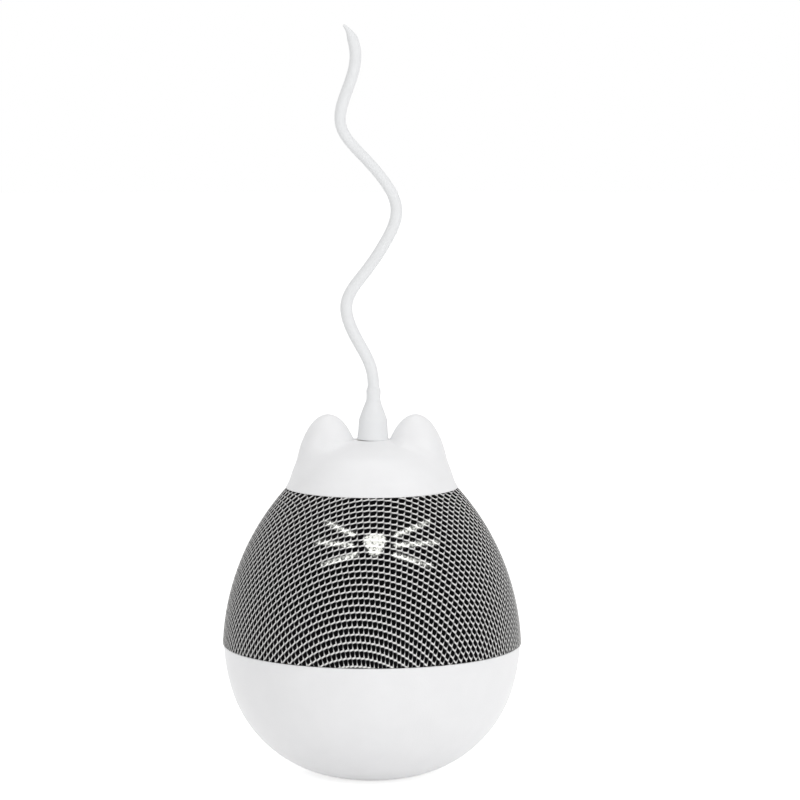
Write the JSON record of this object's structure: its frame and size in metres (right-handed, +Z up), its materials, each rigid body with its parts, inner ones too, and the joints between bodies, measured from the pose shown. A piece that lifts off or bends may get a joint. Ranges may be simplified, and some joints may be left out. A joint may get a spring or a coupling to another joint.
{
  "type": "electronic spinner cat toy",
  "caption": "Egg-shaped battery toy with a white bowl, a mesh-covered shell, an eared cap and a wavy silicone tail turned by a geared motor.",
  "frame": {"origin": "centre of the foot pad's underside, on the floor", "axes": "+Z up along the toy's axis and the tail; the lit nose and whiskers face -Y, and +X is to the right when the toy is seen from the front"},
  "size_m": [0.0986, 0.0986, 0.246],
  "materials": {
    "white_abs": "satin moulded white",
    "silicone": "soft matt white",
    "foot_rubber": "matt grey",
    "black_abs": "moulded black",
    "mesh_cloth": "white net knitted over black",
    "clear_acrylic": "clear polished",
    "acetal": "natural white",
    "gearbox_abs": "moulded dark grey",
    "steel": "zinc plated",
    "contact_metal": "nickel plated",
    "brass": "turned",
    "motor_shell": "plated",
    "end_cap_nylon": "moulded white",
    "cell_wrap": "plain dark sleeve",
    "iron": "blackened",
    "board": "green solder mask",
    "component": "moulded black",
    "diode": "clear over phosphor"
  },
  "bodies": {
    "housing": {"base_bowl": "white_abs", "upper_shell": "black_abs", "mesh_cover": "mesh_cloth", "head_cap": "white_abs", "battery_holder": "black_abs", "battery_cell_1": "cell_wrap", "battery_cell_2": "cell_wrap", "battery_cell_3": "cell_wrap", "holder_contacts": "contact_metal", "holder_screws": "steel", "ballast_ring": "iron", "main_board": "board", "control_chip": "component", "capacitor": "component", "mode_switch": "component", "light_guide": "clear_acrylic", "led_board": "board", "leds": "diode", "cap_screws": "steel", "gearbox_base": "gearbox_abs", "gearbox_cover": "gearbox_abs", "gearbox_screws": "steel", "motor_can": "motor_shell", "motor_end_cap": "end_cap_nylon", "motor_terminals": "contact_metal", "shaft_bush": "brass", "idler_pin": "steel"},
    "door": {"battery_door": "white_abs", "foot_pad": "foot_rubber", "door_screws": "steel", "door_springs": "contact_metal"},
    "button": {"power_button": "white_abs"},
    "rotor": {"motor_shaft": "steel", "motor_pinion": "brass"},
    "idler": {"compound_gear": "acetal"},
    "spinner": {"output_gear": "acetal", "output_shaft": "steel", "tail_hub": "acetal"},
    "tail_piece": {"tail": "silicone"}
  },
  "joints": [
    {"name": "tail_spin", "type": "hinge", "parent": "housing", "child": "spinner", "pos_m": [0, 0, 0], "axis": [0, 0, 1], "continuous": true},
    {"name": "idler_spin", "type": "hinge", "parent": "housing", "child": "idler", "pos_m": [0, 0.0108, 0], "axis": [0, 0, 1], "continuous": true},
    {"name": "rotor_spin", "type": "hinge", "parent": "housing", "child": "rotor", "pos_m": [0.0058, 0.00315, 0], "axis": [0, 0, 1], "continuous": true},
    {"name": "tail_pull", "type": "slide", "parent": "spinner", "child": "tail_piece", "axis": [0, 0, 1], "range_m": [0, 0.012]},
    {"name": "button_press", "type": "slide", "parent": "housing", "child": "button", "axis": [0, -1, 0], "range_m": [0, 0.001], "stiffness_N_per_m": 400},
    {"name": "door_release", "type": "slide", "parent": "housing", "child": "door", "axis": [0, 0, -1], "range_m": [0, 0.012]}
  ],
  "couplings": [
    {"joint": "idler_spin", "follows": "tail_spin", "ratio": -3.5},
    {"joint": "rotor_spin", "follows": "tail_spin", "ratio": 10.5}
  ]
}
